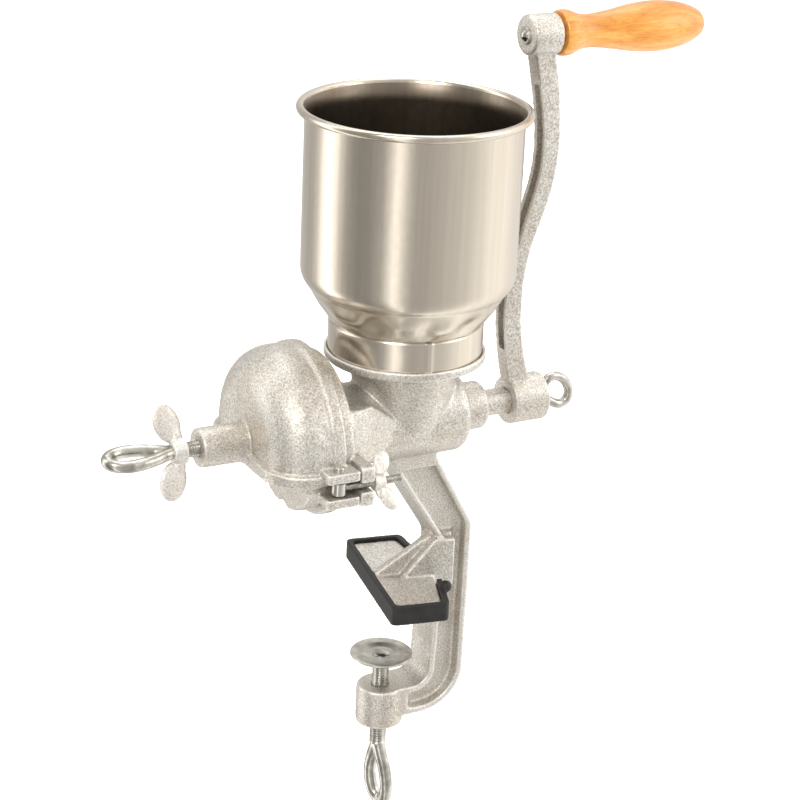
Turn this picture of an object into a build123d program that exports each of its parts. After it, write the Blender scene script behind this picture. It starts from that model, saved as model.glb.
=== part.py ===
from build123d import *
import os
from math import cos, pi, radians, sin

# Clamp-on burr mill with a high hopper. Millimetres, +Z up.
# The origin is the centre of the upper jaw's seat, on the clamp screw's axis: z = 0 is the table top.
# The mill sits above it in its own frame: x along the shaft towards the crank, z up from the shaft's axis.

# Where the mill's frame sits over the clamp
SHAFT_Z = 120.0
MILL_X = 7.0

# Fits
RUN = 0.05
LOOSE = 0.3

# Barrel and hopper seat of the cast body
BARREL_R = 26.5
BORE_R = 23.0
BARREL_BACK = 38.5
REAR_WALL = 6.0
REAR_BOSS_R = 15.5
REAR_BOSS_X = 56.0
FUNNEL_TOP_R = 35.5
FUNNEL_LOW_R = 27.5
THROAT_TOP_R = 31.0
THROAT_LOW_R = 19.0
LIP_R = 51.0
LIP_Z = 41.5
LIP_TOP = 48.0
SEAT_R = 48.9
SEAT_Z = 44.5

# Burr housing: the body's flange meets the cover on this plane
FACE_X = -68.0
FLANGE_R = 52.5
FLANGE_T = 9.5
POCKET = 4.0
COVER_R = 58.2
COVER_WALL = 4.5
COVER_BACK = -109.5
COVER_ROUND = 24.0
BOSS_R = 12.3
BOSS_END = -140.6
LEDGE_TOP = -4.5
LEDGE_LOW = -12.0
BAND_LOW = -18.5

# Swing bolts that hold the cover
BOLT_Y = 62.0
BOLT_Z = -12.2
BOLT_R = 2.5
BOLT_END = -33.5
LUG_X = -63.3
EAR_X = -62.7
EAR_BACK = -53.5
PIN_X = -75.0
PIN_R = 2.4
LUG_FRONT = 68.5
NUT_GAP = 1.2

# Burrs and their carrier
BURR_R = 43.5
BURR_T = 5.5
BURR_GAP = 0.8
BURR_GROOVES = 24
BURR_SCREWS = 3
BURR_PCD_R = 35.0
BURR_SCREW_R = 2.0
BURR_SCREW_DEPTH = 4.0
CARRIER_R = 48.0
SHAFT_R = 8.7
SHAFT_LEFT = -92.0
FEED_END = 29.9
FLIGHT_PITCH = 28.0
FLIGHT_LEN = 74.0

FIXED_FACE = FACE_X + POCKET - BURR_T
TURNING_FACE = FIXED_FACE - BURR_GAP
CARRIER_FACE = TURNING_FACE - BURR_T

# Eyes of the screws: the hole's length as a share of the eye's
EYE_HOLE = 0.62

# Adjusting screw
ADJ_R = 5.0
ADJ_EYE_X = -157.0
ADJ_TIP = -202.5

# Crank
HUB_R = 15.7
HUB_LEFT = 75.9
HUB_RIGHT = 101.5
GRIP_Z = 239.3
TOP_BOSS_R = 12.8
TOP_LEFT = 75.0
TOP_RIGHT = 96.0
GRIP_LEFT = 97.6
GRIP_END = 202.8
SPINDLE_R = 3.6
SPINDLE_HEAD_R = 5.4
SUNK = 9.0
ARM_W = 13.0
CHANNEL_W = 7.5
CHANNEL_DEEP = 6.0
CHANNEL_LOW = 36.0
CHANNEL_TOP = 208.0

# Hopper
RIM_Z = 199.1
RIM_R = 70.0
BEAD_R = 2.3
WIRE_R = 1.6
CAN_R = 67.0
SHEET = 0.8
SHOULDER_Z = 99.0
SHOULDER_R = 62.4
CONE_TOP = 86.0
NECK_R = 46.2
COLLAR_R = 48.6
COLLAR_TOP = 66.4
OUTLET_R = 28.0

# Leg, clamp arm and boss, in the origin's frame
LEG_W = 28.0
LEG_OUT_X = 54.5
LEG_IN_X = 28.5
LEG_TOP = 106.0
WEB_W = 12.0
WEB_INSET = 4.5
CLAMP_R = 15.6
CLAMP_LOW = -96.5
CLAMP_TOP = -69.0
ARM_FLOOR = -89.5
ARM_H = 20.5
SEAT_SKEW = 10.5

# Clamp screw and its disc
SCREW_R = 5.5
DISC_R = 20.7
DISC_Z = -45.6
EYE_TOP = -117.0
EYE_LOW = -159.5

# Upper jaw plate and its rubber boot
BOOT_FLOOR = 3.0
BOOT_RIM_Z = 12.6
JAW_TOP = 10.6
JAW_FRONT = -7.5
JAW_WING = 23.0
JAW_BACK = 30.0
JAW_HALF = 49.5
BOOT_WALL = 3.8


def mill(part):
    """Moves a piece from the mill's frame to the origin's frame."""
    return Pos(MILL_X, 0, SHAFT_Z) * part


def rod_x(radius, x0, x1, y=0.0, z=0.0):
    return Pos((x0 + x1) / 2, y, z) * Rot(0, 90, 0) * Cylinder(radius, abs(x1 - x0))


def rod_y(radius, y0, y1, x=0.0, z=0.0):
    return Pos(x, (y0 + y1) / 2, z) * Rot(90, 0, 0) * Cylinder(radius, abs(y1 - y0))


def rod_z(radius, z0, z1, x=0.0, y=0.0):
    return Pos(x, y, (z0 + z1) / 2) * Cylinder(radius, abs(z1 - z0))


def block(x0, x1, y0, y1, z0, z1):
    size = (x1 - x0, y1 - y0, z1 - z0)
    return Pos((x0 + x1) / 2, (y0 + y1) / 2, (z0 + z1) / 2) * Box(*size)


def turned_x(points):
    """A solid turned about the X axis from (x, radius) corners."""
    face = make_face(Polyline(*[(x, r, 0) for x, r in points], close=True))
    return revolve(face, Axis.X)


def turned_z(points):
    """A solid turned about the Z axis from (radius, z) corners."""
    face = make_face(Polyline(*[(r, 0, z) for r, z in points], close=True))
    return revolve(face, Axis.Z)


def plate_xz(points, width):
    """A plate on the X-Z plane, centred on y = 0."""
    face = make_face(Polyline(*[(x, 0, z) for x, z in points], close=True))
    return extrude(face, width / 2, dir=(0, 1, 0), both=True)


def plate_xy(points, z0, z1):
    face = make_face(Polyline(*[(x, y, z0) for x, y in points], close=True))
    return extrude(face, z1 - z0, dir=(0, 0, 1))


def one(part):
    """The single solid of a part, so that a node never holds stray pieces."""
    return max(part.solids(), key=lambda s: s.volume)


# ---------------------------------------------------------------- cast body

def barrel():
    outer = rod_x(BARREL_R, FACE_X + POCKET, BARREL_BACK)
    outer = fillet(outer.edges().sort_by(Axis.X)[-1], 6)
    boss = rod_x(REAR_BOSS_R, BARREL_BACK - 2, REAR_BOSS_X)
    boss = fillet(boss.edges().sort_by(Axis.X)[-1], 1.5)
    funnel = Pos(0, 0, (LIP_Z - 2) / 2) * Cone(FUNNEL_LOW_R, FUNNEL_TOP_R, LIP_Z + 2)
    lip = rod_z(LIP_R, LIP_Z, LIP_TOP)
    lip = fillet(lip.edges().sort_by(Axis.Z)[0], 2)
    return outer + boss + funnel + lip


def barrel_hollow():
    bore = rod_x(BORE_R, FACE_X - 1, BARREL_BACK - REAR_WALL)
    journal = rod_x(SHAFT_R + RUN, BARREL_BACK - REAR_WALL - 1, REAR_BOSS_X + 1)
    throat = Pos(0, 0, SEAT_Z / 2) * Cone(THROAT_LOW_R, THROAT_TOP_R, SEAT_Z + 1)
    seat = rod_z(SEAT_R, SEAT_Z, LIP_TOP + 1)
    pocket = rod_x(BURR_R + LOOSE, FACE_X - 1, FACE_X + POCKET)
    return bore + journal + throat + seat + pocket


def burr_flange():
    disc = rod_x(FLANGE_R, FACE_X, FACE_X + FLANGE_T)
    disc = fillet(disc.edges().group_by(Axis.X)[-1], 3)
    plan = [(EAR_X, -50), (-16, -24), (-16, 24), (EAR_X, 50)]
    side_view = [(EAR_X, -11), (EAR_X, 28), (-42, 27), (-16, 8), (-16, -4), (-34, -11)]
    webs = plate_xy(plan, -30, 40) & plate_xz(side_view, 120) & rod_x(FLANGE_R - 1, FACE_X, 0)
    return disc + (webs - rod_x(BARREL_R - 2, FACE_X - 10, 10))


def body_forks():
    """Two forked ears beside the burr flange, open outwards for the swing bolts."""
    ears = []
    for side in (-1, 1):
        y0, y1 = sorted((side * (FLANGE_R - 9), side * LUG_FRONT))
        ear = block(EAR_X, EAR_BACK, y0, y1, -25.0, 1.0)
        ear = fillet(ear.edges().filter_by(Axis.X), 2)
        s0, s1 = sorted((side * (BOLT_Y - 4.0), side * (LUG_FRONT + 1)))
        slot = block(EAR_X - 1, EAR_BACK + 1, s0, s1, BOLT_Z - BOLT_R - 0.6, BOLT_Z + BOLT_R + 0.6)
        ears.append(ear - slot)
    return ears


def leg_outline(inset=0.0):
    """The leg and clamp arm seen along Y: a sloping shank, an upright and a return to the boss."""
    outer_x, inner_x = LEG_OUT_X - inset, LEG_IN_X + inset
    floor, roof = ARM_FLOOR + inset, ARM_FLOOR + ARM_H - inset
    path = [
        (-14 + inset, LEG_TOP), (33 + inset, 33), (inner_x, roof), (0, roof),
        (0, floor), (outer_x, floor), (outer_x + 1, 44), (20.5 - inset, LEG_TOP),
    ]
    radii = [14, 11 + inset, 0, 0, 30 - inset, 8]
    return path, radii


def leg_plate(inset, width):
    path, radii = leg_outline(inset)
    face = make_face(Polyline(*[(x, 0, z) for x, z in path], close=True))
    for (x, z), radius in zip(path[1:-1], radii):
        if radius:
            near = [v for v in face.vertices() if abs(v.X - x) < 0.01 and abs(v.Z - z) < 0.01]
            face = fillet(near, radius)
    return extrude(face, width / 2, dir=(0, 1, 0), both=True)


def leg():
    solid = leg_plate(0.0, LEG_W)
    pocket = leg_plate(WEB_INSET, LEG_W) - block(-30, 90, -WEB_W / 2, WEB_W / 2, -130, 120)
    boss_clear = rod_z(CLAMP_R + 4, CLAMP_LOW, CLAMP_TOP + 2)
    top_clear = block(-30, 90, -30, 30, 88, 120)
    pocket = pocket - boss_clear - top_clear
    boss = rod_z(CLAMP_R, CLAMP_LOW, CLAMP_TOP)
    boss = fillet(boss.edges(), 2)
    return solid - pocket + boss


def jaw_outline(grow=0.0):
    """The jaw plate in its own skewed frame: straight front, wings tapering from the leg to the ends."""
    front, half = JAW_FRONT - grow, JAW_HALF + grow
    wing, back = JAW_WING + grow, JAW_BACK + grow
    return [
        (front, -half), (wing, -half), (back, -LEG_W / 2), (back, LEG_W / 2), (wing, half), (front, half),
    ]


def jaw():
    plate = plate_xy(jaw_outline(), BOOT_FLOOR, JAW_TOP)
    plate = fillet(plate.edges().filter_by(Axis.Z), 3)
    rib = plate_xz([(JAW_FRONT, JAW_TOP - 1), (JAW_FRONT, JAW_TOP + 2), (30, 38), (44, 38), (44, BOOT_FLOOR)], 6)
    rib = rib + plate_xz([(8, JAW_TOP - 1), (30, 36), (44, 36), (44, BOOT_FLOOR)], 20)
    return Rot(0, 0, -SEAT_SKEW) * (plate + rib)


def mill_body():
    upper = mill(barrel() + burr_flange() + body_forks())
    solid = upper + leg() + jaw() - mill(barrel_hollow())
    solid = solid - rod_z(SCREW_R + RUN, CLAMP_LOW - 1, CLAMP_TOP + 1)
    pilots = Compound(burr_screw_rods(FACE_X, FIXED_FACE + BURR_T + BURR_SCREW_DEPTH))
    return one(solid - mill(pilots))


# ---------------------------------------------------------------- burr cover

def dome(grow, low, x_max):
    r = COVER_R - 1.2 - grow
    back = COVER_BACK + grow
    points = [(x_max, 0), (x_max, r), (back, r), (back, 0)]
    solid = turned_x(points)
    edge = solid.edges().filter_by(GeomType.CIRCLE).sort_by(Axis.X)[0]
    solid = fillet(edge, COVER_ROUND - grow)
    return solid - block(-200, 0, -90, 90, -120, low)


def cover_lugs():
    parts = []
    for side in (-1, 1):
        y0, y1 = sorted((side * (COVER_R - 7), side * LUG_FRONT))
        for z0, z1 in ((BOLT_Z + 5.0, BOLT_Z + 11.2), (BOLT_Z - 11.2, BOLT_Z - 5.0)):
            lug = block(PIN_X - 10, LUG_X, y0, y1, z0, z1)
            lug = fillet(lug.edges().filter_by(Axis.Z), 1.5)
            parts.append(lug - rod_x(FLANGE_R + 0.6, FACE_X, 0))
    return parts


def burr_cover():
    shell = dome(0, LEDGE_LOW, FACE_X) + (dome(0, BAND_LOW, FACE_X) & block(-93, FACE_X, -90, 90, -30, 0))
    rim = rod_x(COVER_R, FACE_X, FACE_X - 7) - block(-200, 0, -90, 90, -120, BAND_LOW)
    ledge = dome(-3.5, LEDGE_LOW, FACE_X) - block(-200, 0, -90, 90, LEDGE_TOP, 120)
    boss = rod_x(BOSS_R, BOSS_END, COVER_BACK + 12)
    boss = fillet(boss.edges().sort_by(Axis.X)[0], 1.5)
    solid = shell + rim + ledge + boss + cover_lugs()
    hollow = dome(COVER_WALL, -60, FACE_X + 1)
    solid = solid - (hollow - rod_x(BOSS_R, BOSS_END, COVER_BACK + 12)) - rod_x(ADJ_R + RUN, BOSS_END - 1, -90)
    for side in (-1, 1):
        solid = solid - rod_z(PIN_R, -60, 40, PIN_X, side * BOLT_Y)
        y0, y1 = sorted((side * (BOLT_Y - 5.2), side * (LUG_FRONT + 1)))
        solid = solid - block(PIN_X - 5.5, 0, y0, y1, BOLT_Z - 5.0, BOLT_Z + 5.0)
    return one(solid)


def swing_bolt(side):
    eye = rod_z(4.6, BOLT_Z - 4.0, BOLT_Z + 4.0, PIN_X, side * BOLT_Y)
    shank = rod_x(BOLT_R, PIN_X, BOLT_END, side * BOLT_Y, BOLT_Z)
    shank = chamfer(shank.edges().sort_by(Axis.X)[-1], 0.5)
    return one(eye + shank - rod_z(PIN_R + RUN, -60, 40, PIN_X, side * BOLT_Y))


def swing_pin(side):
    shank = rod_z(PIN_R, BOLT_Z - 12.8, BOLT_Z + 14.6, PIN_X, side * BOLT_Y)
    head = rod_z(3.6, BOLT_Z + 11.2, BOLT_Z + 13.6, PIN_X, side * BOLT_Y)
    return one(shank + fillet(head.edges().sort_by(Axis.Z)[-1], 0.8))


def wing_nut_solid(hub_r, hub_len, span, wing_w, wing_t, lean, bore_r):
    """A wing nut on the X axis, its seat at x = 0 and its wings leaning towards +X by `lean`."""
    hub = Pos(hub_len / 2, 0, 0) * Rot(0, 90, 0) * Cone(hub_r, hub_r * 0.8, hub_len)
    solid = hub
    for side in (-1, 1):
        tip = side * (span - wing_w)
        arm = make_face(Polyline(
            (hub_len * 0.2, 0, 0), (hub_len * 0.8, 0, 0),
            (lean + wing_w * 0.8, 0, tip), (lean - wing_w * 0.8, 0, tip), close=True))
        wing = extrude(arm, wing_t / 2, dir=(0, 1, 0), both=True)
        wing = wing + rod_y(wing_w, -wing_t / 2, wing_t / 2, lean, tip)
        solid = solid + wing
    return one(solid - rod_x(bore_r, -30, 60))


def cover_wing_nut(side):
    turn = -31 if side < 0 else 20
    nut = wing_nut_solid(5.6, 8.0, 18.0, 5.4, 3.2, 5.0, BOLT_R + RUN)
    return Pos(EAR_BACK + NUT_GAP, side * BOLT_Y, BOLT_Z) * Rot(turn, 0, 0) * nut


# ---------------------------------------------------------------- burrs and feed screw

def burr(x_face, towards):
    """A grinding plate with its toothed face at x_face, its body going `towards` -1 or +1."""
    back = x_face + towards * BURR_T
    disc = rod_x(BURR_R, x_face, back) - rod_x(BORE_R, x_face - 20, x_face + 20)
    dish = Pos(x_face + towards * 0.7, 0, 0) * Rot(0, 90 * towards, 0) * Cone(BURR_R - 9, BORE_R, 1.6)
    disc = disc - dish
    for i in range(BURR_GROOVES):
        angle = i * 360 / BURR_GROOVES
        groove = block(x_face - 0.9, x_face + 0.9, 8, 8.9, BORE_R - 2, BURR_R + 2)
        disc = disc - Rot(angle, 0, 0) * groove
    return disc


def burr_screw_rods(x0, x1):
    """The fixed burr's screws from x0 to x1, or the holes they need."""
    rods = []
    for i in range(BURR_SCREWS):
        turn = radians(i * 360 / BURR_SCREWS)
        rods.append(rod_x(BURR_SCREW_R, x0, x1, BURR_PCD_R * sin(turn), BURR_PCD_R * cos(turn)))
    return rods


def fixed_burr():
    return one(burr(FIXED_FACE, 1) - burr_screw_rods(FIXED_FACE - 5, FIXED_FACE + 10))


def fixed_burr_screws():
    return Compound(burr_screw_rods(FIXED_FACE + 1.8, FIXED_FACE + BURR_T + BURR_SCREW_DEPTH))


def rotating_burr():
    return one(burr(TURNING_FACE, -1))


def burr_carrier():
    x1 = CARRIER_FACE
    dish = rod_x(CARRIER_R, x1 - 7, x1 + 3.5) - rod_x(BURR_R + 0.3, x1, x1 + 4)
    dish = fillet(dish.edges().sort_by(Axis.X)[0], 3)
    hub = rod_x(14, x1 - 14, x1 - 1)
    spigot = rod_x(BORE_R - RUN, x1 - 1, x1 + 3)
    solid = dish + hub + spigot
    solid = solid - rod_x(SHAFT_R + RUN, x1 - 30, x1 + 10)
    solid = solid - rod_y(2.0, -20, 20, x1 - 9.5, 0)
    for i in range(3):
        notch = rod_x(9, x1 - 20, x1 + 20, 0, CARRIER_R + 5)
        solid = solid - Rot(60 + 120 * i, 0, 0) * notch
    return one(solid)


def carrier_pin():
    x1 = CARRIER_FACE
    return rod_y(2.0 - 0.02, -15, 15, x1 - 9.5, 0)


def feed_screw():
    """Shaft and feed flight in one casting, with flats on the crank end and a bore for the cross pin."""
    core = rod_x(SHAFT_R, SHAFT_LEFT, HUB_RIGHT - 2)
    core = core + rod_x(10.5, -52, FEED_END)
    core = core - [block(REAR_BOSS_X + 1, HUB_RIGHT, -20, 20, s * 7.4 - 5 + 5 * s, s * 7.4 + 5 + 5 * s) for s in (-1, 1)]
    helix = Helix(pitch=FLIGHT_PITCH, height=FLIGHT_LEN, radius=10.0, center=(0, 0, 0), direction=(0, 0, 1))
    section = Plane(origin=helix @ 0, x_dir=(1, 0, 0), z_dir=(0, 1, 0)) * Rectangle(24.0, 4.0)
    flight = sweep(section, path=helix, is_frenet=True)
    flight = Pos(FEED_END - FLIGHT_LEN - 3, 0, 0) * Rot(0, 90, 0) * flight
    flight = flight & rod_x(BORE_R - 0.6, -52, FEED_END)
    x1 = CARRIER_FACE
    shaft = core + flight
    shaft = shaft - rod_y(2.0, -20, 20, x1 - 9.5, 0)
    shaft = shaft - rod_x(2.6 + RUN, HUB_RIGHT - 24, HUB_RIGHT + 1)
    centre = rod_x(2.5, SHAFT_LEFT - 1, SHAFT_LEFT + 2.0)
    return one(shaft - centre)


def thrust_washer():
    x0 = FEED_END + 0.9
    return rod_x(16, x0, BARREL_BACK - REAR_WALL) - rod_x(SHAFT_R + RUN, x0 - 1, x0 + 4)


# ---------------------------------------------------------------- adjusting screw

def eye_loop(length, width, thick, hole_share):
    """A flat teardrop eye along +X from x = 0, on the X-Z plane."""
    r = width / 2
    loop = Ellipse(length / 2, r)
    hole = Pos(length * 0.04, 0, 0) * Ellipse(length / 2 * EYE_HOLE, r * hole_share)
    flat = extrude(loop - hole, thick / 2, both=True)
    return Pos(length / 2, 0, 0) * Rot(90, 0, 0) * flat


def adjusting_screw():
    tip = SHAFT_LEFT - 1.6
    thread = chamfer(rod_x(ADJ_R, ADJ_EYE_X + 2, tip).edges().sort_by(Axis.X)[-1], 1.0)
    neck = rod_x(ADJ_R * 0.9, ADJ_EYE_X - 4, ADJ_EYE_X + 3)
    eye = Pos(ADJ_EYE_X - 1, 0, 0) * Rot(0, 0, 180) * Rot(78, 0, 0) * eye_loop(ADJ_EYE_X - 1 - ADJ_TIP, 24.0, 8.5, 0.44)
    cup = rod_x(2.5, tip - 2.0, tip + 1)
    return one(thread + neck + eye - cup)


def thrust_ball():
    return Pos(SHAFT_LEFT - 0.8, 0, 0) * Sphere(2.4)


def lock_wing_nut():
    nut = wing_nut_solid(8.6, 9.0, 30.0, 7.4, 3.8, 6.5, ADJ_R + RUN)
    return Pos(-148.5, 0, 0) * Rot(0, 0, 180) * Rot(19, 0, 0) * nut


# ---------------------------------------------------------------- crank

def crank_arm():
    near = [(75, 14), (69.5, 45), (68.5, 72), (73.5, 100), (82, 129), (88, 152), (88.6, 178), (84, 208), (79, 232)]
    far = [(92, 232), (97, 210), (100.2, 180), (99.4, 155), (93, 128), (85, 105), (80.5, 78), (82, 45), (90, 14)]
    left = Spline(*[(x, 0, z) for x, z in near])
    right = Spline(*[(x, 0, z) for x, z in far])
    outline = left + right + Line(left @ 1, right @ 0) + Line(right @ 1, left @ 0)
    bar = extrude(make_face(outline), ARM_W / 2, dir=(0, 1, 0), both=True)
    hub = rod_x(HUB_R, HUB_LEFT, HUB_RIGHT)
    hub = fillet(hub.edges().filter_by(GeomType.CIRCLE), 1.5)
    top = rod_x(TOP_BOSS_R, TOP_LEFT, TOP_RIGHT, 0, GRIP_Z)
    top = fillet(top.edges().filter_by(GeomType.CIRCLE), 2)
    flats = block(HUB_LEFT - 2, HUB_RIGHT + 2, -20, 20, -7.5, 7.5)
    bore = rod_x(SHAFT_R + RUN, HUB_LEFT - 2, HUB_RIGHT + 2) & flats
    floor = Spline(*[(x + CHANNEL_DEEP, 0, z) for x, z in near])
    mouth = Spline(*[(x - 4, 0, z) for x, z in near])
    channel = make_face(floor + mouth + Line(floor @ 0, mouth @ 0) + Line(floor @ 1, mouth @ 1))
    channel = extrude(channel, CHANNEL_W / 2, dir=(0, 1, 0), both=True)
    channel = channel & block(40, 120, -20, 20, CHANNEL_LOW, CHANNEL_TOP)
    solid = bar - channel + hub + top - bore
    return one(solid - rod_x(SPINDLE_R, TOP_LEFT - 5, TOP_RIGHT + 5, 0, GRIP_Z))


def crank_eye_screw():
    """Thumb screw with an open eye, threaded into the shaft's end; its collar holds the crank on."""
    shank = rod_x(2.6, HUB_RIGHT - 20, HUB_RIGHT + 6)
    collar = rod_x(5.5, HUB_RIGHT + 0.3, HUB_RIGHT + 2.2)
    ring = Rot(90, 0, 0) * Torus(9.3, 2.6)
    return one(shank + collar + Pos(HUB_RIGHT + 14.6, 0, 0) * ring)


def grip():
    """Half outline of the turned grip: a rounded collar at the crank, a waist, a belly and a domed end."""
    outline = [
        (111, 11.4), (120, 10.5), (136, 12.6), (152, 15.2), (166, 15.9),
        (180, 14.6), (192, 11.5), (200, 7.8), (GRIP_END, 6.2),
    ]
    curve = Spline(*[(x, r, 0) for x, r in outline])
    start = Polyline((GRIP_LEFT, 0, 0), (GRIP_LEFT, 14.0, 0), (104.5, 13.6, 0), (111, 11.4, 0))
    face = make_face(start + curve + Line(curve @ 1, (GRIP_END, 0, 0)) + Line((GRIP_END, 0, 0), (GRIP_LEFT, 0, 0)))
    return face


def handle_grip():
    solid = revolve(grip(), Axis.X)
    solid = solid - rod_x(SPINDLE_R + RUN, GRIP_LEFT - 1, GRIP_END - SUNK + 1)
    head = rod_x(SPINDLE_HEAD_R + RUN, GRIP_END - SUNK, GRIP_END + 5)
    return mill_top(one(solid - head))


def mill_top(part):
    return Pos(0, 0, GRIP_Z) * part


def handle_spindle():
    """A bolt through the grip, its head sunk in the grip's end and its tail riveted in the crank."""
    shank = rod_x(SPINDLE_R, TOP_LEFT - 3.5, GRIP_END - SUNK + 2)
    head = rod_x(SPINDLE_HEAD_R, GRIP_END - SUNK + 0.2, GRIP_END - SUNK + 3.6)
    return mill_top(one(shank + head))


def spindle_ring():
    """Round collar under the spindle's riveted tail."""
    ring = rod_x(5.6, TOP_LEFT - 1.8, TOP_LEFT)
    ring = fillet(ring.edges().sort_by(Axis.X)[0], 0.8)
    return mill_top(one(ring - rod_x(SPINDLE_R, TOP_LEFT - 6, TOP_LEFT + 1)))


def handle_washer():
    return mill_top(rod_x(9.0, TOP_RIGHT, GRIP_LEFT - 0.3) - rod_x(SPINDLE_R, TOP_RIGHT - 1, GRIP_LEFT + 1))


# ---------------------------------------------------------------- hopper

def hopper():
    """Spun sheet can with a rolled rim, a rounded shoulder, a neck and a sloping outlet floor."""
    t = SHEET
    outer = [
        (CAN_R, RIM_Z), (CAN_R, SHOULDER_Z), (SHOULDER_R, CONE_TOP), (NECK_R + 2.0, COLLAR_TOP + 0.8),
        (NECK_R, COLLAR_TOP - 2), (NECK_R, 58), (OUTLET_R, 47.5),
    ]
    inner = [
        (OUTLET_R, 47.5 + t * 1.3), (NECK_R - t, 58 + t * 0.8), (NECK_R - t, COLLAR_TOP - 1.7),
        (NECK_R + 2.0 - t, COLLAR_TOP + 1.4), (SHOULDER_R - t * 0.9, CONE_TOP + t * 0.5),
        (CAN_R - t, SHOULDER_Z), (CAN_R - t, RIM_Z),
    ]
    sides = [Line((outer[0][0], 0, outer[0][1]), (outer[1][0], 0, outer[1][1]))]
    bend = sin(radians(22)) * (CAN_R - SHOULDER_R)
    middle = (CAN_R - bend * 0.9, 0, (SHOULDER_Z + CONE_TOP) / 2 - 1.0)
    inner_middle = (middle[0] - t, 0, middle[2] + t * 0.3)
    sides.append(ThreePointArc((CAN_R, 0, SHOULDER_Z), middle, (SHOULDER_R, 0, CONE_TOP)))
    low = [(r, 0, z) for r, z in outer[2:] + inner[:5]]
    sides.append(Polyline(*low))
    sides.append(ThreePointArc(low[-1], inner_middle, (CAN_R - t, 0, SHOULDER_Z)))
    sides.append(Polyline((CAN_R - t, 0, SHOULDER_Z), (CAN_R - t, 0, RIM_Z), (CAN_R, 0, RIM_Z)))
    shell = revolve(make_face(Curve() + sides), Axis.Z)
    bead = Pos(0, 0, RIM_Z) * Torus(RIM_R, BEAD_R)
    roll = turned_z([(CAN_R - t, RIM_Z - 0.4), (RIM_R, RIM_Z - 0.4), (RIM_R, RIM_Z + 0.4), (CAN_R - t, RIM_Z + 0.4)])
    solid = shell + bead + roll
    return one(solid - Pos(0, 0, RIM_Z) * Torus(RIM_R, WIRE_R))


def hopper_rim_wire():
    return Pos(0, 0, RIM_Z) * Torus(RIM_R, WIRE_R)


def hopper_collar():
    """Band that seats in the casting's lip, folded in at the top against the hopper's neck."""
    low = SEAT_Z + 0.05
    points = [
        (COLLAR_R, low), (COLLAR_R, COLLAR_TOP - 0.5), (COLLAR_R - 0.8, COLLAR_TOP),
        (NECK_R + 1.47, COLLAR_TOP), (NECK_R + 0.05, COLLAR_TOP - 2.0),
        (COLLAR_R - 1.2, COLLAR_TOP - 2.0), (COLLAR_R - 1.2, low),
    ]
    return turned_z(points)


# ---------------------------------------------------------------- clamp

def clamp_screw():
    shank = rod_z(SCREW_R, EYE_TOP, DISC_Z - 5)
    pin = rod_z(3.2, DISC_Z - 6, DISC_Z - 0.6)
    eye = eye_loop(EYE_TOP - EYE_LOW + 4, 25, 9.0, 0.48)
    eye = Pos(0, 0, EYE_TOP + 4) * Rot(0, 90, 0) * eye
    return one(shank + pin + Rot(0, 0, -74) * eye)


def clamp_disc():
    """Saucer: flat outer ring on top, raised skirt below round the screw's pin."""
    points = [
        (3.25, DISC_Z - 1.6), (9.5, DISC_Z - 1.6), (12.5, DISC_Z), (DISC_R, DISC_Z), (DISC_R, DISC_Z - 2.2),
        (12.0, DISC_Z - 2.6), (9.0, DISC_Z - 4.2), (3.25, DISC_Z - 4.2),
    ]
    return turned_z(points)


def clamp_rivet():
    """Head of the riveted screw tip, lying in the saucer's dish."""
    head = rod_z(6.2, DISC_Z - 1.5, DISC_Z - 0.5)
    return one(head - rod_z(3.2, DISC_Z - 8, DISC_Z + 2))


def jaw_boot():
    """Rubber tray pushed over the jaw plate from below, open where the leg passes."""
    leg_gap = block(LEG_IN_X - LOOSE, LEG_OUT_X + 10, -LEG_W / 2 - LOOSE, LEG_W / 2 + LOOSE, -1, BOOT_RIM_Z + 5)
    outer = plate_xy(jaw_outline(BOOT_WALL), 0, BOOT_RIM_Z)
    outer = fillet(outer.edges().filter_by(Axis.Z), 4)
    inner = plate_xy(jaw_outline(0.0), BOOT_FLOOR, BOOT_RIM_Z + 1)
    inner = fillet(inner.edges().filter_by(Axis.Z), 3)
    gap = block(23, 60, -18, 18, -1, BOOT_RIM_Z + 1)
    knob = Pos(31.5, -30, BOOT_RIM_Z) * Sphere(4.0)
    stalk = rod_z(2.4, 4, BOOT_RIM_Z, 30.0, -30)
    solid = outer - inner - gap
    return one(Rot(0, 0, -SEAT_SKEW) * (solid + knob + stalk) - leg_gap)


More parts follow.
